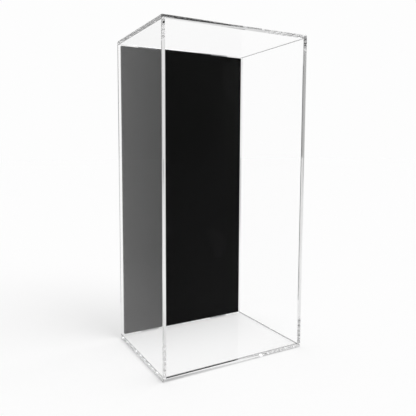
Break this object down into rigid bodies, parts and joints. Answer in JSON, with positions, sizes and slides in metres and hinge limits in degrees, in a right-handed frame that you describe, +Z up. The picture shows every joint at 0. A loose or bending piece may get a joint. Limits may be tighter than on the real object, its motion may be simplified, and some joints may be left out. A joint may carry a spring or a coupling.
{
  "type": "wall display case",
  "caption": "Tall clear box-shaped wall display case with a black back panel; the clear cover pulls off forwards and the back hangs on a bevelled wall cleat.",
  "frame": {"origin": "middle of the underside of the whole part's box, on the surface it stands on", "axes": "+X to the right seen from the front, +Y back to the wall, +Z up"},
  "size_m": [0.153, 0.1088, 0.305],
  "materials": {
    "clear_acrylic": "clear, polished edges",
    "black_acrylic": "gloss black",
    "clear_silicone": "clear, matt",
    "bare_aluminium": "satin anodised",
    "dark_felt": "felt"
  },
  "bodies": {
    "wall_bracket": {"wall_cleat": "bare_aluminium"},
    "back_unit": {"back_panel": "black_acrylic", "upper_edge_pads": "clear_silicone", "lower_edge_pads": "clear_silicone", "hanging_cleat": "black_acrylic", "lower_bar": "black_acrylic", "wall_pads": "dark_felt"},
    "cover": {"front_panel": "clear_acrylic", "left_panel": "clear_acrylic", "right_panel": "clear_acrylic", "top_panel": "clear_acrylic", "bottom_panel": "clear_acrylic"}
  },
  "joints": [
    {"name": "lift_off", "type": "slide", "parent": "wall_bracket", "child": "back_unit", "axis": [0, 0, 1], "range_m": [0, 0.02]},
    {"name": "cover_slide", "type": "slide", "parent": "back_unit", "child": "cover", "axis": [0, -1, 0], "range_m": [0, 0.2]}
  ]
}
